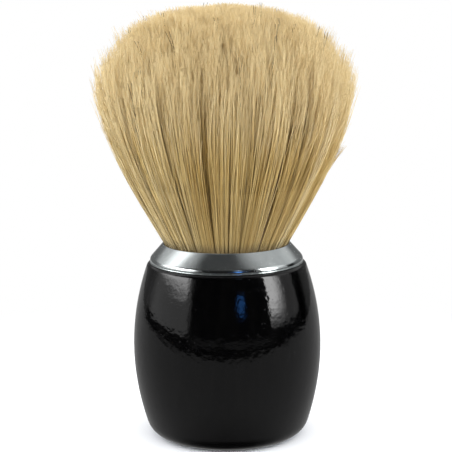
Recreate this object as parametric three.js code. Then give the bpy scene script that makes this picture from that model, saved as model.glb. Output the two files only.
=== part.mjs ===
// Barber's shaving brush: a lacquered barrel handle, a polished aluminium collar, and a knot of
// natural bristle bound, cast in a cup and glued into the handle.
// Millimetres, +Z up. The origin is the centre of the flat foot that the brush stands on.
import * as THREE from "three";

// ---- Driving dimensions ----

// Handle
const HANDLE_HEIGHT = 40;
const BELLY_RADIUS = 21.3; // the widest part of the barrel
const BELLY_HEIGHT = 20.8;
const SHOULDER_RADIUS = 17.85; // of the barrel at its top, before the edge is rounded
const FOOT_EDGE = 3.4; // height of the rounding between the barrel and the foot
const SHOULDER_EDGE = 0.7; // height of the rounding between the barrel and the top
const SOCKET_DEPTH = 19;

// Collar
const COLLAR_HEIGHT = 4.3;
const COLLAR_RADIUS = 17.4; // at the bead
const CONE_RADIUS = 17.35; // at the rounded foot of the cone
const RIM_RADIUS = 14.5; // outside of the thin lip round the bristles
const MOUTH_RADIUS = 14.15; // bore of the collar and of the socket
const BEAD_RADIUS = 0.18;
const GROOVE_WIDTH = 0.06;
const CONE_EDGE_ROUND = 1.5;
const SKIRT_WALL = 0.8;
const SKIRT_DEPTH = 6;

// Knot: the bristles and what holds them
const CUP_HEIGHT = 12;
const CUP_WALL = 0.9;
const CUP_FLOOR = 1.2;
const ADHESIVE_THICKNESS = 0.6;
const RESIN_FLOOR = 1.5;
const RESIN_WALL = 0.7;
const RESIN_MARGIN = 1.2; // how far the resin stops below the lip of the cup
const CORD_RADIUS = 0.55;
const CORD_PITCH = 1.3;
const CORD_TURNS = 3;

// Bristle tuft above the collar
const TUFT_RADIUS = 29.5; // the widest part of the fan
const FLANK_HEIGHT = 38; // from the rim of the collar up to the widest part
const DOME_HEIGHT = 15;
const WAIST_HEIGHT = 14; // the part that bends right above the collar
const FLANK_BOW = 0.75; // 0 makes straight flanks, 1 makes flanks that end upright

// Spaces between neighbouring pieces
const CLEARANCE = 0.3; // filled by glue, or free
const SEAT_GAP = 0.1; // under the collar

// Facets round the axis
const OUTSIDE_FACETS = 64;
const INSIDE_FACETS = 40;

// ---- Heights that follow from them ----

const RIM_HEIGHT = HANDLE_HEIGHT + COLLAR_HEIGHT;
const SOCKET_FLOOR_HEIGHT = HANDLE_HEIGHT - SOCKET_DEPTH;
const ADHESIVE_HEIGHT = SOCKET_FLOOR_HEIGHT + CLEARANCE;
const CUP_BASE_HEIGHT = ADHESIVE_HEIGHT + ADHESIVE_THICKNESS + CLEARANCE;
const RESIN_BASE_HEIGHT = CUP_BASE_HEIGHT + CUP_FLOOR + CLEARANCE;
const RESIN_HEIGHT = CUP_HEIGHT - CUP_FLOOR - CLEARANCE - RESIN_MARGIN;
const ROOT_BASE_HEIGHT = RESIN_BASE_HEIGHT + RESIN_FLOOR + CLEARANCE;
const CORD_BASE_HEIGHT = CUP_BASE_HEIGHT + CUP_HEIGHT + CLEARANCE + CORD_RADIUS;
const CORD_TOP_HEIGHT = CORD_BASE_HEIGHT + CORD_TURNS * CORD_PITCH + CORD_RADIUS;

const CUP_RADIUS = MOUTH_RADIUS - CLEARANCE;
const RESIN_RADIUS = CUP_RADIUS - CUP_WALL - CLEARANCE;
const ROOT_RADIUS = RESIN_RADIUS - RESIN_WALL - CLEARANCE;
const KNOT_RADIUS = MOUTH_RADIUS - CLEARANCE; // of the bristles where they leave the collar
const SKIRT_RADIUS = MOUTH_RADIUS + SKIRT_WALL;

// ---- Outlines are lists of [radius, height] points ----

// Points along an arc with one size across and one up; angles in degrees, 0 points outwards.
function arc([centreRadius, centreHeight], [across, up], from, to, steps) {
  return Array.from({ length: steps + 1 }, (_, step) => {
    const angle = THREE.MathUtils.degToRad(from + ((to - from) * step) / steps);
    return [centreRadius + across * Math.cos(angle), centreHeight + up * Math.sin(angle)];
  });
}

// Points of a side given by a formula, radius = side(height), between two heights.
function side(radiusAt, from, to, steps) {
  return Array.from({ length: steps + 1 }, (_, step) => {
    const height = from + ((to - from) * step) / steps;
    return [radiusAt(height), height];
  });
}

// Revolves an outline about the Z axis.
function turned(outline, facets) {
  const points = outline.map(([radius, height]) => new THREE.Vector2(radius, height));
  return new THREE.LatheGeometry(points, facets).rotateX(Math.PI / 2);
}

// A named piece, with its own frame's origin at the given height on the axis.
function piece(name, geometry, height, finish) {
  const mesh = new THREE.Mesh(geometry, new THREE.MeshStandardMaterial(finish));
  mesh.name = name;
  mesh.position.z = height;
  return mesh;
}

// ---- Handle ----

// The barrel is a parabola with its crest at the belly.
const BARREL_CURVE = (BELLY_RADIUS - SHOULDER_RADIUS) / (HANDLE_HEIGHT - BELLY_HEIGHT) ** 2;
const barrelRadius = (height) => BELLY_RADIUS - BARREL_CURVE * (height - BELLY_HEIGHT) ** 2;

// Rounds the edge between a flat end and the barrel with the arc that touches both. The arc goes
// from the flat end to the barrel, and reach says how far along the axis: down is negative.
function edgeRounding(flatHeight, reach, steps) {
  const edgeHeight = flatHeight + reach;
  const slope = Math.atan(2 * BARREL_CURVE * (BELLY_HEIGHT - edgeHeight));
  const round = Math.abs(reach) / (1 - Math.sin(Math.abs(slope)));
  const inward = Math.sign(reach);
  const centre = [barrelRadius(edgeHeight) - round * Math.cos(slope), flatHeight + inward * round];
  return arc(centre, [round, round], -90 * inward, -THREE.MathUtils.radToDeg(slope), steps);
}

function makeHandle() {
  const counterbore = SKIRT_RADIUS + CLEARANCE;
  const counterboreFloor = HANDLE_HEIGHT - SKIRT_DEPTH - CLEARANCE;
  const outline = [
    [0, 0],
    ...edgeRounding(0, FOOT_EDGE, 6),
    ...side(barrelRadius, FOOT_EDGE, HANDLE_HEIGHT - SHOULDER_EDGE, 14).slice(1),
    ...edgeRounding(HANDLE_HEIGHT, -SHOULDER_EDGE, 3).reverse().slice(1),
    [counterbore, HANDLE_HEIGHT],
    [counterbore, counterboreFloor],
    [MOUTH_RADIUS, counterboreFloor],
    [MOUTH_RADIUS, SOCKET_FLOOR_HEIGHT],
    [0, SOCKET_FLOOR_HEIGHT],
  ];
  const lacquer = { color: 0x0b0b0d, roughness: 0.08, metalness: 0 };
  return piece("handle", turned(outline, OUTSIDE_FACETS), 0, lacquer);
}

// ---- Collar ----

// Angle of the straight line that touches two circles from outside, as the angle of its normal.
function tangentNormal([radiusA, heightA], roundA, [radiusB, heightB], roundB) {
  const across = radiusB - radiusA;
  const up = heightB - heightA;
  const turn = Math.acos((roundA - roundB) / Math.hypot(across, up));
  return THREE.MathUtils.radToDeg(Math.atan2(up, across) - turn);
}

// A cone between a rounded foot edge and a thin rolled lip, over a groove and a bead, with a
// skirt below that drops into the handle's counterbore.
function makeCollar() {
  const beadCentre = [COLLAR_RADIUS - BEAD_RADIUS, BEAD_RADIUS];
  const grooveTop = 2 * BEAD_RADIUS + GROOVE_WIDTH;
  const edgeCentre = [CONE_RADIUS - CONE_EDGE_ROUND, grooveTop];
  const lip = (RIM_RADIUS - MOUTH_RADIUS) / 2;
  const lipCentre = [RIM_RADIUS - lip, COLLAR_HEIGHT - lip];
  const cone = tangentNormal(edgeCentre, CONE_EDGE_ROUND, lipCentre, lip);
  const outline = [
    [MOUTH_RADIUS, -SKIRT_DEPTH],
    [SKIRT_RADIUS, -SKIRT_DEPTH],
    [SKIRT_RADIUS, SEAT_GAP],
    ...arc(beadCentre, [BEAD_RADIUS, BEAD_RADIUS - SEAT_GAP], -90, 90, 6),
    [COLLAR_RADIUS - BEAD_RADIUS, grooveTop],
    ...arc(edgeCentre, [CONE_EDGE_ROUND, CONE_EDGE_ROUND], 0, cone, 6),
    ...arc(lipCentre, [lip, lip], cone, 180, 5),
    [MOUTH_RADIUS, -SKIRT_DEPTH],
  ];
  const aluminium = { color: 0xd3d5d7, roughness: 0.15, metalness: 1 };
  return piece("collar", turned(outline, OUTSIDE_FACETS), HANDLE_HEIGHT, aluminium);
}

// ---- Inside the socket ----

// A round cup open at the top, standing on its own origin.
function cup(outerRadius, wall, floor, height) {
  const outline = [
    [0, 0],
    [outerRadius, 0],
    [outerRadius, height],
    [outerRadius - wall, height],
    [outerRadius - wall, floor],
    [0, floor],
  ];
  return turned(outline, INSIDE_FACETS);
}

function makeKnotCup() {
  const plastic = { color: 0x26262a, roughness: 0.5, metalness: 0 };
  const shape = cup(CUP_RADIUS, CUP_WALL, CUP_FLOOR, CUP_HEIGHT);
  return piece("knot_cup", shape, CUP_BASE_HEIGHT, plastic);
}

// Resin poured in the cup rises round the roots, so it is a cup too.
function makeResinPlug() {
  const amber = { color: 0xb8873f, roughness: 0.25, metalness: 0 };
  const shape = cup(RESIN_RADIUS, RESIN_WALL, RESIN_FLOOR, RESIN_HEIGHT);
  return piece("resin_plug", shape, RESIN_BASE_HEIGHT, amber);
}

function makeSocketAdhesive() {
  const outline = [
    [0, 0],
    [CUP_RADIUS, 0],
    [CUP_RADIUS, ADHESIVE_THICKNESS],
    [0, ADHESIVE_THICKNESS],
  ];
  const glue = { color: 0xd8cfae, roughness: 0.4, metalness: 0 };
  return piece("socket_adhesive", turned(outline, INSIDE_FACETS), ADHESIVE_HEIGHT, glue);
}

// The packed roots: straight in the resin and under the cord, then spreading to the mouth.
function makeRootBundle() {
  const cordTop = CORD_TOP_HEIGHT - ROOT_BASE_HEIGHT;
  const mouth = RIM_HEIGHT - ROOT_BASE_HEIGHT;
  const spreadRadius = (height) => {
    const rise = THREE.MathUtils.smoothstep(height, cordTop, mouth);
    return ROOT_RADIUS + (KNOT_RADIUS - ROOT_RADIUS) * rise;
  };
  const outline = [
    [0, 0],
    [ROOT_RADIUS, 0],
    ...side(spreadRadius, cordTop, mouth, 5),
    [0, mouth],
  ];
  const roots = { color: 0xa98a52, roughness: 0.8, metalness: 0 };
  return piece("root_bundle", turned(outline, INSIDE_FACETS), ROOT_BASE_HEIGHT, roots);
}

// The line that the cord follows, a helix round the roots.
class CordPath extends THREE.Curve {
  getPoint(share, target = new THREE.Vector3()) {
    const angle = 2 * Math.PI * CORD_TURNS * share;
    const radius = ROOT_RADIUS + CLEARANCE + CORD_RADIUS;
    const height = CORD_TURNS * CORD_PITCH * share;
    return target.set(radius * Math.cos(angle), radius * Math.sin(angle), height);
  }
}

function makeBindingCord() {
  const section = new THREE.Shape().absarc(0, 0, CORD_RADIUS, 0, 2 * Math.PI);
  const shape = new THREE.ExtrudeGeometry(section, {
    curveSegments: 4,
    steps: 24 * CORD_TURNS,
    bevelEnabled: false,
    extrudePath: new CordPath(),
  });
  const cotton = { color: 0xe9e1cd, roughness: 0.9, metalness: 0 };
  return piece("binding_cord", shape, CORD_BASE_HEIGHT, cotton);
}

// ---- Bristle tuft ----

// Radius of the tuft at a height above the rim of the collar, up to its widest part.
function flankRadius(height) {
  const share = height / FLANK_HEIGHT;
  const bowed = Math.sin((Math.PI / 2) * share);
  const spread = FLANK_BOW * bowed + (1 - FLANK_BOW) * share;
  return KNOT_RADIUS + (TUFT_RADIUS - KNOT_RADIUS) * spread;
}

const BRISTLE = { color: 0xc9ae7b, roughness: 0.75, metalness: 0 };

// The lower part of the tuft, where the bristles bend.
function makeBristleWaist() {
  const outline = [
    [0, CLEARANCE],
    ...side(flankRadius, CLEARANCE, WAIST_HEIGHT, 6),
    [0, WAIST_HEIGHT],
  ];
  return piece("bristle_waist", turned(outline, OUTSIDE_FACETS), RIM_HEIGHT, BRISTLE);
}

// The upper part of the tuft: the spreading flanks and the domed top.
function makeBristleFan() {
  const base = WAIST_HEIGHT + CLEARANCE;
  const outline = [
    [0, base],
    ...side(flankRadius, base, FLANK_HEIGHT, 8),
    ...arc([0, FLANK_HEIGHT], [TUFT_RADIUS, DOME_HEIGHT], 0, 90, 10).slice(1, -1),
    [0, FLANK_HEIGHT + DOME_HEIGHT],
  ];
  return piece("bristle_fan", turned(outline, OUTSIDE_FACETS), RIM_HEIGHT, BRISTLE);
}

// ---- Assembly ----

// Everything glued into or onto the handle stays with it.
const handleAssembly = new THREE.Group();
handleAssembly.add(
  makeHandle(),
  makeCollar(),
  makeSocketAdhesive(),
  makeKnotCup(),
  makeResinPlug(),
  makeRootBundle(),
  makeBindingCord(),
);

const tuft = new THREE.Group();
tuft.add(makeBristleWaist(), makeBristleFan());

const brush = new THREE.Group();
brush.add(handleAssembly, tuft);

export default brush;
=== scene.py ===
"""Barber's shaving brush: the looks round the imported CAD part.

The handle and the collar are turned again at full smoothness, the plain tuft solids are replaced by
separate bristles, and every piece gets a procedural material. Lengths in this script are millimetres;
they become metres when a mesh is made.
"""
import math

import bpy
import numpy as np
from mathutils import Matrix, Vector


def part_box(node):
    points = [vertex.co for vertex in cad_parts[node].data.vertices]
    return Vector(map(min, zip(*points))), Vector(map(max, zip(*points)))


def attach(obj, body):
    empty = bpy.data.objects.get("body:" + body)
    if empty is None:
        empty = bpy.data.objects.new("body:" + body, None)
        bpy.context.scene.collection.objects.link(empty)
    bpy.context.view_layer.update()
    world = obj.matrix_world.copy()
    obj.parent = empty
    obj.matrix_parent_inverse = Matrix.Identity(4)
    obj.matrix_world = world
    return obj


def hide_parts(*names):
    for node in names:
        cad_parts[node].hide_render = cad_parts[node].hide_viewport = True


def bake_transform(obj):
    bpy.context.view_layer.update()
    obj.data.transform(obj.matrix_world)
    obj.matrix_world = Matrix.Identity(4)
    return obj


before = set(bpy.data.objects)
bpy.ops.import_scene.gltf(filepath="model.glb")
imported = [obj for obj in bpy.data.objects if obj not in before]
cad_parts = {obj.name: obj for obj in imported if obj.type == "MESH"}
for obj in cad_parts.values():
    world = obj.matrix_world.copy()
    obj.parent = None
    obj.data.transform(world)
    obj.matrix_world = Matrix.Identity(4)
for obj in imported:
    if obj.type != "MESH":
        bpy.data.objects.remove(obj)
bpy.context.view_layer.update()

MM = 0.001
RNG = np.random.default_rng(29)


# ---- Sizes: the outer ones come from the frame, the rest are the design's own ----


def top_bottom_radius(node):
    """Heights of a CAD node's top and bottom, and its largest radius."""
    low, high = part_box(node)
    return high.z / MM, low.z / MM, high.x / MM


HANDLE_HEIGHT, _, BELLY_RADIUS = top_bottom_radius("handle")
RIM_HEIGHT, SKIRT_BOTTOM, COLLAR_RADIUS = top_bottom_radius("collar")
WAIST_TOP, _, _ = top_bottom_radius("bristle_waist")
TUFT_TOP, _, TUFT_RADIUS = top_bottom_radius("bristle_fan")

# Handle
BELLY_HEIGHT = 20.8
SHOULDER_RADIUS = 17.85  # of the barrel at its top, before the edge is rounded
BARREL_CURVE = (BELLY_RADIUS - SHOULDER_RADIUS) / (HANDLE_HEIGHT - BELLY_HEIGHT) ** 2
FOOT_EDGE = 3.4  # heights of the roundings between the barrel and its flat ends
SHOULDER_EDGE = 0.7
SOCKET_DEPTH = 19

# Collar
MOUTH_RADIUS = 14.15
RIM_RADIUS = 14.5  # outside of the thin lip round the bristles
SKIRT_RADIUS = 14.95
CLEARANCE = 0.3  # round the skirt
BEAD_RADIUS = 0.18
GROOVE_WIDTH = 0.06
CONE_RADIUS = 17.35  # at the rounded foot of the cone
CONE_EDGE_ROUND = 1.5

# Tuft, with heights above the rim of the collar
WAIST_HEIGHT = WAIST_TOP - RIM_HEIGHT
DOME_HEIGHT = 15
FLANK_HEIGHT = TUFT_TOP - RIM_HEIGHT - DOME_HEIGHT
FLANK_BOW = 0.75  # 0 makes straight flanks, 1 makes flanks that end upright
KNOT_RADIUS = 14.0
FACETS = 240  # round the handle and the collar


# ---- Mesh helpers ----


def mesh_object(name, points, face_sizes, corners):
    """An object from points in millimetres and the corners of all faces in a row.

    Quads are shaded smooth. Triangles are flat ends.
    """
    mesh = bpy.data.meshes.new(name)
    mesh.vertices.add(len(points))
    mesh.vertices.foreach_set("co", (np.asarray(points) * MM).astype(np.float32).ravel())
    mesh.loops.add(len(corners))
    mesh.loops.foreach_set("vertex_index", np.asarray(corners, np.int32))
    mesh.polygons.add(len(face_sizes))
    starts = np.concatenate([[0], np.cumsum(face_sizes)[:-1]])
    mesh.polygons.foreach_set("loop_start", starts.astype(np.int32))
    mesh.polygons.foreach_set("use_smooth", face_sizes == 4)
    mesh.update(calc_edges=True)
    thing = bpy.data.objects.new(name, mesh)
    bpy.context.scene.collection.objects.link(thing)
    return thing


def arc(centre, radius, start, end, steps):
    """Points [radius, height] of an arc; angles in degrees, 0 points outwards."""
    angles = np.radians(np.linspace(start, end, steps + 1))
    return np.stack([centre[0] + radius * np.cos(angles), centre[1] + radius * np.sin(angles)], 1)


def side(radius_at, low, high, steps):
    """Points of a side given by a formula, between two heights."""
    heights = np.linspace(low, high, steps + 1)
    return np.stack([radius_at(heights), heights], 1)


def turned(name, outline, facets, sharp_above=30):
    """Revolves a closed outline about Z. The points on the axis, if any, come first and last."""
    outline = np.array(outline, float)
    on_axis = outline[0, 0] == 0
    ringed = outline[1:-1] if on_axis else outline
    angles = np.linspace(0, 2 * math.pi, facets, endpoint=False)
    directions = np.stack([np.cos(angles), np.sin(angles)], 1)
    flat = ringed[:, None, :1] * directions
    heights = np.repeat(ringed[:, 1], facets).reshape(len(ringed), facets, 1)
    points = np.concatenate([flat, heights], 2).reshape(-1, 3)
    rows = np.arange(len(ringed)) * facets
    lower = rows[:-1] if on_axis else rows
    upper = rows[1:] if on_axis else np.roll(rows, -1)
    here = np.arange(facets)
    beside = (here + 1) % facets
    quads = np.stack(
        [
            lower[:, None] + here,
            lower[:, None] + beside,
            upper[:, None] + beside,
            upper[:, None] + here,
        ],
        2,
    ).reshape(-1, 4)
    corners = [quads.ravel()]
    sizes = np.full(len(quads), 4)
    if on_axis:
        foot, crown = len(points), len(points) + 1
        points = np.concatenate([points, [[0, 0, outline[0, 1]], [0, 0, outline[-1, 1]]]])
        last = rows[-1]
        corners.append(np.stack([np.full(facets, foot), beside, here], 1).ravel())
        corners.append(np.stack([np.full(facets, crown), last + here, last + beside], 1).ravel())
        sizes = np.concatenate([sizes, np.full(2 * facets, 3)])
    thing = mesh_object(name, points, sizes, np.concatenate(corners))
    thing.data.set_sharp_from_angle(angle=math.radians(sharp_above))
    return thing


# ---- Material helpers ----


class Nodes:
    """Builds a node tree. An input may be another node's socket or a plain value."""

    def __init__(self, tree):
        self.tree = tree
        tree.nodes.clear()

    def add(self, kind, inputs=None, **settings):
        node = self.tree.nodes.new(kind)
        for name, value in settings.items():
            setattr(node, name, value)
        for name, value in (inputs or {}).items():
            self.feed(node.inputs[name], value)
        return node

    def feed(self, socket, value):
        if isinstance(value, bpy.types.NodeSocket):
            self.tree.links.new(value, socket)
        else:
            socket.default_value = value

    def calc(self, operation, *values):
        node = self.add("ShaderNodeMath", operation=operation)
        for socket, value in zip(node.inputs, values):
            self.feed(socket, value)
        return node.outputs[0]

    def ramp_up(self, value, low, high, to_low=0.0, to_high=1.0):
        """Goes smoothly from to_low to to_high while value goes from low to high."""
        limits = {"From Min": low, "From Max": high, "To Min": to_low, "To Max": to_high}
        inputs = {"Value": value, **limits}
        node = self.add("ShaderNodeMapRange", inputs, interpolation_type="SMOOTHSTEP")
        return node.outputs["Result"]

    def mix(self, share, first, second, blend="MIX"):
        """Mixes two colours."""
        node = self.add("ShaderNodeMix", data_type="RGBA", blend_type=blend)
        colours = [socket for socket in node.inputs if socket.type == "RGBA"]
        self.feed(node.inputs[0], share)
        self.feed(colours[0], first)
        self.feed(colours[1], second)
        return next(socket for socket in node.outputs if socket.type == "RGBA")

    def noise(self, vector, size, detail=2.0, roughness=0.5):
        """Noise whose features are about size millimetres across."""
        inputs = {"Vector": vector, "Scale": 1 / size, "Detail": detail, "Roughness": roughness}
        return self.add("ShaderNodeTexNoise", inputs).outputs["Fac"]

    def place(self, stretch=(1, 1, 1)):
        """The point's place in millimetres, divided by stretch in each direction."""
        scale = tuple(1 / (MM * s) for s in stretch)
        coordinates = self.add("ShaderNodeTexCoord").outputs["Object"]
        return self.add("ShaderNodeMapping", {"Vector": coordinates, "Scale": scale}).outputs["Vector"]

    def bump(self, height, depth, normal=None):
        """A bump that is depth millimetres deep."""
        node = self.add("ShaderNodeBump", {"Height": height, "Distance": depth * MM, "Strength": 1.0})
        if normal is not None:
            self.feed(node.inputs["Normal"], normal)
        return node.outputs["Normal"]

    def colours(self, value, stops):
        """A colour ramp through (place, (red, green, blue)) stops."""
        node = self.add("ShaderNodeValToRGB", {"Fac": value})
        elements = node.color_ramp.elements
        while len(elements) < len(stops):
            elements.new(1)
        for element, (place, colour) in zip(elements, stops):
            element.position = place
            element.color = (*colour, 1)
        return node.outputs["Color"]


def principled(name, paint):
    """A material with one Principled shader, whose inputs come from paint(nodes)."""
    made = bpy.data.materials.new(name)
    made.use_nodes = True
    nodes = Nodes(made.node_tree)
    shader = nodes.add("ShaderNodeBsdfPrincipled", paint(nodes))
    nodes.add("ShaderNodeOutputMaterial", {"Surface": shader.outputs[0]})
    return made


def wear(thing, made):
    thing.data.materials.clear()
    thing.data.materials.append(made)


# ---- Handle ----


def barrel_radius(height):
    return BELLY_RADIUS - BARREL_CURVE * (height - BELLY_HEIGHT) ** 2


def edge_rounding(flat_height, reach, steps):
    """The arc that touches a flat end and the barrel, from the end on; a negative reach goes down."""
    edge_height = flat_height + reach
    slope = math.atan(2 * BARREL_CURVE * (BELLY_HEIGHT - edge_height))
    radius = abs(reach) / (1 - math.sin(abs(slope)))
    inward = math.copysign(1, reach)
    centre = [barrel_radius(edge_height) - radius * math.cos(slope), flat_height + inward * radius]
    return arc(centre, radius, -90 * inward, -math.degrees(slope), steps)


def handle_outline():
    counterbore = SKIRT_RADIUS + CLEARANCE
    counterbore_floor = SKIRT_BOTTOM - CLEARANCE
    socket_floor = HANDLE_HEIGHT - SOCKET_DEPTH
    return [
        [0, 0],
        *edge_rounding(0, FOOT_EDGE, 18),
        *side(barrel_radius, FOOT_EDGE, HANDLE_HEIGHT - SHOULDER_EDGE, 60)[1:],
        *edge_rounding(HANDLE_HEIGHT, -SHOULDER_EDGE, 8)[::-1][1:],
        [counterbore, HANDLE_HEIGHT],
        [counterbore, counterbore_floor],
        [MOUTH_RADIUS, counterbore_floor],
        [MOUTH_RADIUS, socket_floor],
        [0, socket_floor],
    ]


def lacquer(nodes):
    """Black gloss lacquer over turned wood. The coat is uneven, so its reflections waver."""
    place = nodes.place()
    swell = nodes.bump(nodes.noise(place, 3.2, 1.0), 0.035)
    ripple = nodes.bump(nodes.noise(place, 1.0, 2.0), 0.028, swell)
    dust = nodes.bump(nodes.ramp_up(nodes.noise(place, 0.5, 1.0), 0.72, 0.8), 0.02, ripple)
    haze = nodes.ramp_up(nodes.noise(place, 7.0, 4.0, 0.6), 0.35, 0.75, 0.05, 0.11)
    depth = nodes.ramp_up(nodes.noise(nodes.place((1, 1, 8)), 1.5, 3.0), 0.3, 0.8)
    colour = nodes.mix(depth, (0.0004, 0.0004, 0.0005, 1), (0.0012, 0.0011, 0.0011, 1))
    return {"Base Color": colour, "Roughness": haze, "IOR": 1.5, "Normal": dust}


def make_handle():
    handle = turned("handle_lacquered", handle_outline(), FACETS)
    wear(handle, principled("black_lacquer", lacquer))
    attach(handle, "handle_assembly")
    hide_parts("handle")


# ---- Collar ----


def tangent_normal(centre_a, radius_a, centre_b, radius_b):
    """Angle of the normal of the line that touches two circles from outside, in degrees."""
    across = centre_b[0] - centre_a[0]
    up = centre_b[1] - centre_a[1]
    turn = math.acos((radius_a - radius_b) / math.hypot(across, up))
    return math.degrees(math.atan2(up, across) - turn)


def collar_outline():
    """A cone from a rounded foot to a thin lip, over a groove and a bead, with the skirt below."""
    seat = HANDLE_HEIGHT
    bead_centre = [COLLAR_RADIUS - BEAD_RADIUS, seat + BEAD_RADIUS]
    groove_top = seat + 2 * BEAD_RADIUS + GROOVE_WIDTH
    edge_centre = [CONE_RADIUS - CONE_EDGE_ROUND, groove_top]
    lip = (RIM_RADIUS - MOUTH_RADIUS) / 2
    lip_centre = [RIM_RADIUS - lip, RIM_HEIGHT - lip]
    cone = tangent_normal(edge_centre, CONE_EDGE_ROUND, lip_centre, lip)
    return [
        [MOUTH_RADIUS, SKIRT_BOTTOM],
        [SKIRT_RADIUS, SKIRT_BOTTOM],
        [SKIRT_RADIUS, seat],
        *arc(bead_centre, BEAD_RADIUS, -90, 90, 12),
        [COLLAR_RADIUS - BEAD_RADIUS, groove_top],
        *arc(edge_centre, CONE_EDGE_ROUND, 0, cone, 16),
        *arc(lip_centre, lip, cone, 180, 10),
    ]


def aluminium(nodes):
    """Polished aluminium with turning marks round it, and smudges."""
    smudge = nodes.noise(nodes.place(), 4.0, 3.0, 0.6)
    marks = nodes.bump(nodes.noise(nodes.place((14, 14, 0.12)), 1.0, 2.0), 0.0005)
    dents = nodes.bump(nodes.noise(nodes.place(), 2.4, 1.0), 0.012, marks)
    clean = nodes.ramp_up(smudge, 0.3, 0.7)
    colour = nodes.mix(clean, (0.74, 0.79, 0.79, 1), (0.83, 0.88, 0.88, 1))
    roughness = nodes.ramp_up(smudge, 0.3, 0.75, 0.11, 0.2)
    return {"Base Color": colour, "Metallic": 1.0, "Roughness": roughness, "Normal": dents}


def make_collar():
    collar = turned("collar_polished", collar_outline(), FACETS)
    wear(collar, principled("polished_aluminium", aluminium))
    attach(collar, "handle_assembly")
    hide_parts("collar")


# ---- Pieces inside the socket ----


def adhesive(nodes):
    bubbles = nodes.noise(nodes.place(), 0.9, 3.0)
    pale = nodes.ramp_up(bubbles, 0.35, 0.65)
    colour = nodes.mix(pale, (0.60, 0.53, 0.34, 1), (0.74, 0.69, 0.50, 1))
    return {"Base Color": colour, "Roughness": 0.4, "Normal": nodes.bump(bubbles, 0.1)}


def cup_plastic(nodes):
    grain = nodes.noise(nodes.place(), 0.25, 2.0)
    colour = nodes.mix(grain, (0.022, 0.022, 0.026, 1), (0.04, 0.04, 0.046, 1))
    return {"Base Color": colour, "Roughness": 0.45, "Normal": nodes.bump(grain, 0.015)}


def resin(nodes):
    flow = nodes.noise(nodes.place((1, 1, 2)), 2.5, 4.0, 0.6)
    pale = nodes.ramp_up(flow, 0.3, 0.7)
    colour = nodes.mix(pale, (0.38, 0.17, 0.035, 1), (0.58, 0.32, 0.10, 1))
    return {"Base Color": colour, "Roughness": 0.22, "IOR": 1.55, "Normal": nodes.bump(flow, 0.08)}


def packed_roots(nodes):
    """Bristles so tightly packed that only their run along the axis shows."""
    fibres = nodes.noise(nodes.place((1, 1, 30)), 0.22, 3.0, 0.7)
    stops = [(0.3, (0.10, 0.06, 0.025)), (0.5, (0.30, 0.20, 0.09)), (0.7, (0.50, 0.38, 0.20))]
    colour = nodes.colours(fibres, stops)
    return {"Base Color": colour, "Roughness": 0.7, "Normal": nodes.bump(fibres, 0.12)}


def cotton_cord(nodes):
    """Twisted strands, as slanting waves on the cord."""
    slant = {"Vector": nodes.place((1, 1, 0.6)), "Scale": 1.1, "Distortion": 1.5}
    strands = nodes.add("ShaderNodeTexWave", slant).outputs["Fac"]
    colour = nodes.mix(strands, (0.55, 0.48, 0.34, 1), (0.80, 0.74, 0.60, 1))
    return {"Base Color": colour, "Roughness": 0.85, "Normal": nodes.bump(strands, 0.08)}


def finish_inner_pieces():
    paints = {
        "socket_adhesive": adhesive,
        "knot_cup": cup_plastic,
        "resin_plug": resin,
        "root_bundle": packed_roots,
        "binding_cord": cotton_cord,
    }
    for node, paint in paints.items():
        wear(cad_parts[node], principled(node + "_finish", paint))


# ---- Bristles ----

BRISTLES = 14000
CLUMPS = 240  # small groups of bristles that draw together and share a drift
LOCKS = 60  # larger groups that differ in length and tone
SIDES = 3
ROOT_RADIUS = (0.085, 0.125)
ROOT_DEPTH = 1.5  # how far below the rim the separate bristles start
FLAG_LENGTH = (3.0, 6.0)  # the split end of a bristle
CLUMP_PULL = (0.08, 0.32)  # how far a bristle stands towards the middle of its clump
CLUMP_DRIFT = 0.5  # how far clumps lean from their place at the top of the flank
WILD_SHARE = 0.03  # of the bristles drifts further than the rest
SWAY = 0.28  # of the slow wave along a bristle
SWAY_PITCH = 6  # height over which that wave turns by a radian
CURL = 0.9  # how far a bristle's end leans
CURL_LENGTH = 9  # length of the end that leans
FRAYED_BAND = 11  # height of the band of the flank over which the outer bristles end
DOME_START = 1.5  # how far below the top of the flank the dome starts
DOME_RISE = 2.8  # added to DOME_HEIGHT, because the bristles end unevenly below it
DARK_SHARE = 0.005  # of the bristles is dark
STRAY_ENDS = (19.5, 24)  # heights at which the stray lock ends
LOWER_RINGS = 5
UPPER_RINGS = 5
FLAG_RINGS = 3
LOWER_SECTORS = 3
UPPER_SECTORS = 5


def smooth(value, low, high):
    share = np.clip((value - low) / (high - low), 0, 1)
    return share * share * (3 - 2 * share)


def tuft_radius(height):
    """Radius of the tuft at a height above the rim."""
    share = height / FLANK_HEIGHT
    inside = np.clip(share, 0, 1)
    spread = FLANK_BOW * np.sin(math.pi / 2 * inside) + (1 - FLANK_BOW) * share
    return KNOT_RADIUS + (TUFT_RADIUS - KNOT_RADIUS) * spread


def even_disc(count, jitter):
    """Places spread evenly over a disc of radius 1."""
    share = np.sqrt((np.arange(count) + 0.5) / count)
    angle = np.arange(count) * math.pi * (3 - math.sqrt(5))
    places = np.stack([share * np.cos(angle), share * np.sin(angle)], 1)
    places += RNG.normal(0, jitter / math.sqrt(count), places.shape)
    return places / np.maximum(np.linalg.norm(places, axis=1, keepdims=True), 1)


def nearest(places, centres):
    distance = np.linalg.norm(places[:, None] - centres[None], axis=2)
    return distance.argmin(1)


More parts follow.
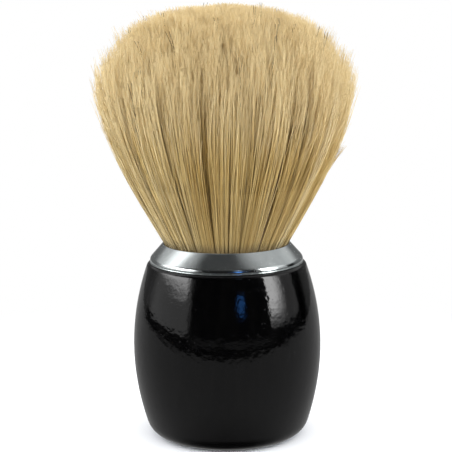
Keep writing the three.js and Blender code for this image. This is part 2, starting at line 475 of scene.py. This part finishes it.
class Bristles:
    """Where every bristle stands, how it bends, how long it is and what tone it has."""

    def __init__(self):
        self.places = even_disc(BRISTLES, 0.5)
        self.share = np.linalg.norm(self.places, axis=1)
        centres = even_disc(CLUMPS, 0.6)
        clump = nearest(self.places, centres)
        lock = nearest(self.places, even_disc(LOCKS, 0.9))
        self.to_clump = centres[clump] - self.places
        self.pull = RNG.uniform(*CLUMP_PULL, CLUMPS)[clump]
        wildness = np.where(RNG.random(BRISTLES) < WILD_SHARE, 1.4, 0.6)
        wildness *= 1 - 0.5 * smooth(self.share, 0.8, 1)
        self.drift = RNG.normal(0, 1, (BRISTLES, 2)) * wildness[:, None]
        self.drift += RNG.normal(0, CLUMP_DRIFT, (CLUMPS, 2))[clump]
        self.sway = RNG.normal(0, SWAY, (BRISTLES, 2))
        self.phase = RNG.uniform(0, 2 * math.pi, BRISTLES)
        self.curl = RNG.normal(0, CURL, (BRISTLES, 2))
        self.curl *= (1 - 0.6 * smooth(self.share, 0.75, 1))[:, None]
        self.turn = RNG.uniform(0, 2 * math.pi, BRISTLES)
        self.root_radius = RNG.uniform(*ROOT_RADIUS, BRISTLES)
        self.flag = RNG.uniform(*FLAG_LENGTH, BRISTLES)
        self.end = self.dome() - self.drop(clump, lock)
        self.tone = self.tones(clump, lock)
        self.darken_a_few()
        self.loosen_stray_lock()

    def tones(self, clump, lock):
        """From 0, straw, to 0.93, brown. Light and shade are painted into the tone: the sides paler,
        the front and the back darker.
        """
        own, clumps, locks = (RNG.random(count) for count in (BRISTLES, CLUMPS, LOCKS))
        uneven = smooth(0.3 * own + 0.3 * clumps[clump] + 0.4 * locks[lock], 0.1, 0.9)
        # Painted light and shade: the tone is paler at the sides and darker at the front and the back.
        painted_light_at_sides = 0.05 + 0.36 * (self.places[:, 0] ** 2 - self.places[:, 1] ** 2)
        return np.clip(uneven - painted_light_at_sides, 0, 0.93)

    def darken_a_few(self):
        """Single dark hairs, thicker and a little longer than the rest."""
        dark = RNG.random(BRISTLES) < DARK_SHARE
        self.tone[dark] = 1
        self.root_radius[dark] *= 2.1
        self.end[dark] += 0.6

    def loosen_stray_lock(self):
        """A few short brown bristles that stick out of the right flank."""
        stray = (self.places[:, 0] > 0.97) & (np.abs(self.places[:, 1]) < 0.07)
        self.end[stray] = RNG.uniform(*STRAY_ENDS, stray.sum())
        self.flag[stray] = FLAG_LENGTH[0]
        self.curl[stray] += (1.1, 0)
        self.tone[stray] = RNG.uniform(0.85, 1, stray.sum())

    def dome(self):
        """Height of the tuft's surface above each bristle's place."""
        round_top = np.clip(1 - self.share**2, 0, 1) ** 0.6
        return FLANK_HEIGHT - DOME_START + (DOME_HEIGHT + DOME_RISE) * round_top

    def drop(self, clump, lock):
        """How far each bristle ends below that surface. The outer ones end over a band of the flank."""
        uneven = RNG.exponential(0.5, BRISTLES)
        uneven += RNG.uniform(0, 0.5, CLUMPS)[clump]
        uneven += RNG.uniform(0, 0.6, LOCKS)[lock]
        band = FRAYED_BAND * RNG.random(BRISTLES) ** 1.5 * smooth(self.share, 0.6, 1.0)
        return np.clip(uneven, 0, 4) + band

    def run(self, which, heights):
        """Points of the chosen bristles at the given heights above the rim, one row for each."""
        share = np.clip(heights / FLANK_HEIGHT, 0, None)
        pull = self.pull[which, None] * (0.35 + 0.65 * smooth(heights, 0, WAIST_HEIGHT))
        place = self.places[which, None] + pull[..., None] * self.to_clump[which, None]
        bend = self.drift[which, None] * (share**1.8)[..., None]
        wave = np.sin(heights / SWAY_PITCH + self.phase[which, None]) * smooth(heights, 2, 20)
        bend += self.sway[which, None] * wave[..., None]
        to_end = self.end[which, None] - heights
        curled = np.clip(1 - to_end / CURL_LENGTH, 0, None) ** 2
        bend += self.curl[which, None] * curled[..., None]
        flat = tuft_radius(heights)[..., None] * place + bend
        return np.concatenate([flat, RIM_HEIGHT + heights[..., None]], 2)

    def thickness(self, which, heights):
        reach = (heights + ROOT_DEPTH) / (self.end[which, None] + ROOT_DEPTH)
        return self.root_radius[which, None] * (1 - 0.4 * np.clip(reach, 0, 1) ** 1.5)

    def sector(self, number, of):
        """The bristles of one sector of the tuft."""
        order = np.argsort(np.arctan2(self.places[:, 1], self.places[:, 0]), kind="stable")
        return np.sort(np.array_split(order, of)[number])


class Tubes:
    """Collects thin closed tubes, with a tone, a reach from root to tip, and a UV cell for each."""

    def __init__(self, cells):
        self.columns = math.ceil(math.sqrt(cells))
        self.points = []
        self.corners = {4: [], 3: []}
        self.uvs = {4: [], 3: []}
        self.tone = []
        self.reach = []
        self.count = 0

    def add(self, centres, radii, turn, tone, reach, cell_box):
        """centres and radii have a row for each tube and a column for each ring.

        cell_box is left, right, bottom and top of the tubes' part of their UV cells.
        """
        centres, radii, reach = (self.doubled_ends(values) for values in (centres, radii, reach))
        tubes, rings = radii.shape
        angles = turn[:, None] + np.arange(SIDES) * 2 * math.pi / SIDES
        around = np.stack([np.cos(angles), np.sin(angles), np.zeros_like(angles)], 2)
        rims = centres[:, :, None] + radii[:, :, None, None] * around[:, None]
        self.points.append(rims.reshape(-1, 3))
        self.tone.append(np.repeat(tone, rings * SIDES))
        self.reach.append(np.repeat(reach.ravel(), SIDES))

        first = self.count + np.arange(tubes) * rings * SIDES
        ring, corner = np.meshgrid(np.arange(1, rings - 2), np.arange(SIDES), indexing="ij")
        beside = (corner + 1) % SIDES
        low, high = ring * SIDES, (ring + 1) * SIDES
        pattern = np.stack([low + corner, low + beside, high + beside, high + corner], 2)
        self.corners[4].append((first[:, None, None] + pattern.reshape(-1, 4)).ravel())
        caps = np.array([[2, 1, 0], (rings - 1) * SIDES + np.arange(3)])
        self.corners[3].append((first[:, None, None] + caps).ravel())

        across = np.stack([corner, corner + 1, corner + 1, corner], 2).reshape(-1) / SIDES
        along = (np.stack([ring, ring, ring + 1, ring + 1], 2).reshape(-1) - 1) / (rings - 3)
        self.uvs[4].append(self.cell_uvs(tubes, across, along, cell_box))
        cap_across = np.array([0.5, 0.4, 0.6, 0.4, 0.5, 0.6])
        cap_along = np.array([0, 0.02, 0.02, 0.98, 1, 0.98])
        self.uvs[3].append(self.cell_uvs(tubes, cap_across, cap_along, cell_box))
        self.count += tubes * rings * SIDES

    @staticmethod
    def doubled_ends(values):
        """Repeats the end rings, so that the flat ends share no points with the smooth sides."""
        return np.concatenate([values[:, :1], values, values[:, -1:]], 1)

    def cell_uvs(self, tubes, across, along, cell_box):
        left, right, bottom, top = cell_box
        cell = np.arange(tubes)
        u = (cell % self.columns)[:, None] + left + (right - left) * across
        v = (cell // self.columns)[:, None] + bottom + (top - bottom) * along
        return np.stack([u, v], 2).reshape(-1, 2) / self.columns

    def make(self, name):
        quads, caps = np.concatenate(self.corners[4]), np.concatenate(self.corners[3])
        sizes = np.concatenate([np.full(len(quads) // 4, 4), np.full(len(caps) // 3, 3)])
        thing = mesh_object(name, np.concatenate(self.points), sizes, np.concatenate([quads, caps]))
        uvs = np.concatenate(self.uvs[4] + self.uvs[3]).astype(np.float32)
        layer = thing.data.uv_layers.new(name="OFBake")
        layer.uv.foreach_set("vector", uvs.ravel())
        for label, values in (("tone", self.tone), ("reach", self.reach)):
            attribute = thing.data.attributes.new(label, "FLOAT", "POINT")
            attribute.data.foreach_set("value", np.concatenate(values).astype(np.float32))
        return thing


def finish_bristles(piece, made):
    """Gives bristles their finish. They are not mirrored in the collar, which would turn gold."""
    wear(piece, made)
    piece.visible_glossy = False
    piece.shadow_terminator_geometry_offset = 0


def make_lower_bristles(bristles, number, made):
    """The part below the fan. Its second ring is at the rim and keeps the bristles inside the lip."""
    which = bristles.sector(number, LOWER_SECTORS)
    rings = np.append(-ROOT_DEPTH, np.linspace(0, WAIST_HEIGHT, LOWER_RINGS - 1))
    heights = rings * np.ones((len(which), 1))
    turn, tone = bristles.turn[which], bristles.tone[which]
    reach = heights / bristles.end[which, None]
    centres, radii = bristles.run(which, heights), bristles.thickness(which, heights)
    tubes = Tubes(len(which))
    tubes.add(centres, radii, turn, tone, reach, (0.1, 0.9, 0.05, 0.95))
    piece = tubes.make(f"bristles_lower_{number + 1}")
    finish_bristles(piece, made)
    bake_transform(piece)
    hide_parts("bristle_waist")


def make_upper_bristles(bristles, number, made):
    """The fan: each bristle goes on from the lower part, and its last few millimetres are split."""
    which = bristles.sector(number, UPPER_SECTORS)
    tubes = Tubes(len(which))
    turn, tone = bristles.turn[which], bristles.tone[which]
    end = bristles.end[which, None]
    split = end - bristles.flag[which, None]
    heights = WAIST_HEIGHT + (split - WAIST_HEIGHT) * np.linspace(0, 1, UPPER_RINGS)
    centres, radii = bristles.run(which, heights), bristles.thickness(which, heights)
    tubes.add(centres, radii, turn, tone, heights / end, (0.1, 0.9, 0.05, 0.75))

    overlap = 0.15
    steps = np.linspace(0, 1, FLAG_RINGS)
    heights = split - overlap + (bristles.flag[which, None] + overlap) * steps
    sideways = np.stack([np.cos(turn), np.sin(turn), np.zeros_like(turn)], 1)
    radii = 0.65 * bristles.thickness(which, heights) * (1 - 0.4 * steps)
    for hair, cell_box in ((-1, (0.1, 0.45, 0.8, 0.95)), (1, (0.55, 0.9, 0.8, 0.95))):
        spread = 0.45 * hair * steps**1.3
        centres = bristles.run(which, heights) + spread[:, None] * sideways[:, None]
        tubes.add(centres, radii, turn, tone, heights / end, cell_box)
    piece = tubes.make(f"bristles_upper_{number + 1}")
    finish_bristles(piece, made)
    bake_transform(piece)
    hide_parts("bristle_fan")


def bristle(nodes):
    """Natural bristle: straw, golden and a few brown ones, paler towards the split ends. Shade is
    painted in: darker towards the roots, darkest just above the rim.
    """
    tone = nodes.add("ShaderNodeAttribute", attribute_name="tone").outputs["Fac"]
    reach = nodes.add("ShaderNodeAttribute", attribute_name="reach").outputs["Fac"]
    stops = [
        (0.0, (0.80, 0.64, 0.34)),
        (0.4, (0.73, 0.535, 0.21)),
        (0.7, (0.61, 0.41, 0.125)),
        (0.93, (0.46, 0.285, 0.065)),
        (1.0, (0.09, 0.042, 0.015)),
    ]
    body = nodes.colours(tone, stops)
    light = nodes.ramp_up(tone, 0.9, 1.0, 1.0, 0.0)
    paling = nodes.calc("MULTIPLY", nodes.ramp_up(reach, 0.55, 1.0, 0.0, 0.7), light)
    tipped = nodes.mix(paling, body, (0.87, 0.715, 0.42, 1))
    # Painted shade: the colour darkens towards the roots, so the lower tuft looks shaded.
    painted_shade_low = nodes.mix(nodes.ramp_up(reach, 0.0, 0.95, 0.27, 0.0), tipped, (0.27, 0.215, 0.13, 1))
    # Painted shade: a dark band just above the rim, where the collar shades the bristles.
    colour = nodes.mix(nodes.ramp_up(reach, 0.0, 0.09, 0.6, 0.0), painted_shade_low, (0.13, 0.1, 0.055, 1))
    return {"Base Color": colour, "Roughness": 0.6, "IOR": 1.5, "Specular IOR Level": 0.3}


def make_tuft():
    bristles = Bristles()
    made = principled("bristle", bristle)
    for number in range(LOWER_SECTORS):
        make_lower_bristles(bristles, number, made)
    for number in range(UPPER_SECTORS):
        make_upper_bristles(bristles, number, made)


# ---- Studio ----


def make_floor():
    """A pale floor that shows only the soft shadow near the brush, and fades to white."""
    bpy.ops.mesh.primitive_plane_add(size=20)
    floor = bpy.context.object
    floor.name = "floor"
    made = bpy.data.materials.new("pale_floor")
    made.use_nodes = True
    nodes = Nodes(made.node_tree)
    place = nodes.add("ShaderNodeTexCoord").outputs["Object"]
    distance = nodes.add("ShaderNodeVectorMath", {0: place}, operation="LENGTH").outputs["Value"]
    fade = nodes.ramp_up(distance, 0.025, 0.14)
    seen = nodes.add("ShaderNodeLightPath").outputs["Is Camera Ray"]
    grey = nodes.mix(seen, (0.55, 0.55, 0.55, 1), (0.95, 0.95, 0.95, 1))
    shader = nodes.add("ShaderNodeBsdfDiffuse", {"Color": grey})
    white = nodes.add("ShaderNodeEmission", {"Color": (1, 1, 1, 1), "Strength": 1.0})
    mixed = nodes.add("ShaderNodeMixShader", {0: nodes.calc("MULTIPLY", fade, seen)})
    nodes.feed(mixed.inputs[1], shader.outputs[0])
    nodes.feed(mixed.inputs[2], white.outputs[0])
    nodes.add("ShaderNodeOutputMaterial", {"Surface": mixed.outputs[0]})
    wear(floor, made)
    floor.visible_glossy = False


class Surroundings:
    """What the glossy pieces mirror, by direction.

    Azimuth 0 is towards the camera and 90 is to its right. Angles are in degrees.
    """

    def __init__(self, nodes):
        self.nodes = nodes
        direction = nodes.add("ShaderNodeTexCoord").outputs["Generated"]
        parts = nodes.add("ShaderNodeSeparateXYZ", {0: direction}).outputs
        self.sideways = parts[0]
        backwards = nodes.calc("MULTIPLY", parts[1], -1.0)
        self.azimuth = nodes.calc("DEGREES", nodes.calc("ARCTAN2", self.sideways, backwards))
        self.elevation = nodes.calc("DEGREES", nodes.calc("ARCSINE", parts[2]))

    def window(self, value, low, high, soft_low, soft_high):
        """1 between low and high, falling to 0 over the soft widths outside them."""
        rise = self.nodes.ramp_up(value, low - soft_low, low)
        fall = self.nodes.ramp_up(value, high, high + soft_high, 1.0, 0.0)
        return self.nodes.calc("MULTIPLY", rise, fall)

    def panel(self, azimuths, elevations, brightness, soft=(2, 2, 2, 2)):
        """A rectangle of light. soft is the width of its left, right, lower and upper edge."""
        across = self.window(self.azimuth, *azimuths, *soft[:2])
        up = self.window(self.elevation, *elevations, *soft[2:])
        return self.nodes.calc("MULTIPLY", self.nodes.calc("MULTIPLY", across, up), brightness)

    def sheet(self):
        """The pale top that the brush stands on. It ends lower in front than at the sides."""
        nodes = self.nodes
        turn = nodes.calc("SINE", nodes.calc("RADIANS", nodes.calc("MULTIPLY", self.azimuth, 0.5)))
        rise = nodes.calc("POWER", nodes.calc("ABSOLUTE", turn), 1.4)
        edge = nodes.calc("MULTIPLY_ADD", rise, 8.5, -11.5)
        below = nodes.ramp_up(nodes.calc("SUBTRACT", self.elevation, edge), -0.6, 0.6, 1.0, 0.0)
        shaded = nodes.ramp_up(self.elevation, -75, -35, 0.05, 1.0)
        brightness = nodes.calc("MULTIPLY_ADD", rise, 0.1, 0.24)
        return nodes.calc("MULTIPLY", nodes.calc("MULTIPLY", below, shaded), brightness)

    def brightness(self):
        """The sum of all panels, less a dark bar that stands at the right."""
        room = [
            self.sheet(),
            self.panel((-260, -95), (25, 90), 0.33, (20, 30, 10, 1)),
            self.panel((97, 110), (25, 90), 0.44, (60, 120, 10, 1)),
            self.panel((125, 235), (-3, 25), 0.12, (6, 6, 2, 20)),
            self.panel((-235, -125), (-3, 25), 0.12, (6, 6, 2, 20)),
            self.panel((-35, 45), (-5, -3), 0.12, (20, 20, 1, 1)),
            self.panel((-60, 60), (50, 90), 0.04, (20, 20, 15, 1)),
        ]
        left_windows = [
            self.panel((-100, -54), (-1, 20), 0.7, (30, 10, 1, 10)),
            self.panel((-90, -60), (22, 27), 5.0, (31, 10, 12, 8)),
            self.panel((-113, -108), (38, 56), 1.1, (24, 13, 14, 8)),
        ]
        right_windows = [
            self.panel((57, 64), (14, 32), 8.0, (2, 22, 14, 12)),
            self.panel((57, 101), (1, 32), 0.4, (2, 4, 1, 20)),
        ]
        total = 0.012
        for panel in room + left_windows + right_windows:
            total = self.nodes.calc("ADD", total, panel)
        bar = self.panel((108, 115), (-4, 6), 1.0)
        return self.nodes.calc("MULTIPLY", total, self.nodes.calc("SUBTRACT", 1.0, bar))

    def blue_pane(self):
        """Colour of a blue pane, and of a pale patch above it that shows in the collar's foot alone."""
        pane = self.panel((15, 21), (13, 17), 1.0, (3, 3, 5, 3))
        patch = self.panel((20, 23), (32, 40), 1.0, (9, 2, 3, 8))
        blue = self.nodes.mix(pane, (0, 0, 0, 1), (0.17, 0.72, 2.2, 1))
        return self.nodes.mix(patch, blue, (0.33, 0.42, 0.55, 1))


def make_world():
    """White to the camera, a soft dome for diffuse light, and the surroundings for reflections."""
    world = bpy.data.worlds.new("studio")
    world.use_nodes = True
    world.cycles.sampling_method = "NONE"
    bpy.context.scene.world = world
    nodes = Nodes(world.node_tree)
    path = nodes.add("ShaderNodeLightPath").outputs
    around = Surroundings(nodes)
    overhead = nodes.ramp_up(around.elevation, -10, 80, 0.42, 1.4)
    at_side = nodes.calc("POWER", nodes.calc("ABSOLUTE", around.sideways), 4.0)
    strength = nodes.calc("MULTIPLY_ADD", at_side, 6.3, overhead)
    tint = nodes.mix(at_side, (1, 1, 1, 1), (0.9, 0.97, 1.1, 1))
    dome = nodes.add("ShaderNodeBackground", {"Color": tint, "Strength": strength})
    mirrored = nodes.mix(1.0, around.brightness(), around.blue_pane(), "ADD")
    panels = nodes.add("ShaderNodeBackground", {"Color": mirrored, "Strength": 1.0})
    white = nodes.add("ShaderNodeBackground", {"Color": (1, 1, 1, 1), "Strength": 1.0})
    for_light = nodes.add("ShaderNodeMixShader", {0: path["Is Glossy Ray"]})
    nodes.feed(for_light.inputs[1], dome.outputs[0])
    nodes.feed(for_light.inputs[2], panels.outputs[0])
    for_all = nodes.add("ShaderNodeMixShader", {0: path["Is Camera Ray"]})
    nodes.feed(for_all.inputs[1], for_light.outputs[0])
    nodes.feed(for_all.inputs[2], white.outputs[0])
    nodes.add("ShaderNodeOutputWorld", {"Surface": for_all.outputs[0]})


def aim(thing, target):
    direction = Vector(target) * MM - thing.location
    thing.rotation_euler = direction.to_track_quat("-Z", "Y").to_euler()


def make_key_light():
    """A large soft light above the camera, which gives the bristles their direction."""
    lamp = bpy.data.lights.new("key", "AREA")
    lamp.size = 0.5
    lamp.energy = 1.0
    key = bpy.data.objects.new("key", lamp)
    key.location = Vector((100, -550, 650)) * MM
    aim(key, (0, 0, 60))
    key.visible_glossy = False
    bpy.context.scene.collection.objects.link(key)


def make_camera():
    """In front of the brush and a little above it, rolled by half a degree as in the photo."""
    distance, elevation, roll = 350, math.radians(9.38), math.radians(-0.5)
    height = 50 + distance * math.sin(elevation)
    lens = bpy.data.cameras.new("camera")
    lens.lens = 123.5
    camera = bpy.data.objects.new("camera", lens)
    camera.location = Vector((0, -distance * math.cos(elevation), height)) * MM
    aim(camera, (-0.05, 0, 48))
    camera.rotation_euler.rotate_axis("Z", roll)
    bpy.context.scene.collection.objects.link(camera)
    bpy.context.scene.camera = camera


make_handle()
make_collar()
finish_inner_pieces()
make_tuft()
make_floor()
make_world()
make_key_light()
make_camera()
bpy.context.scene.view_settings.view_transform = "Standard"
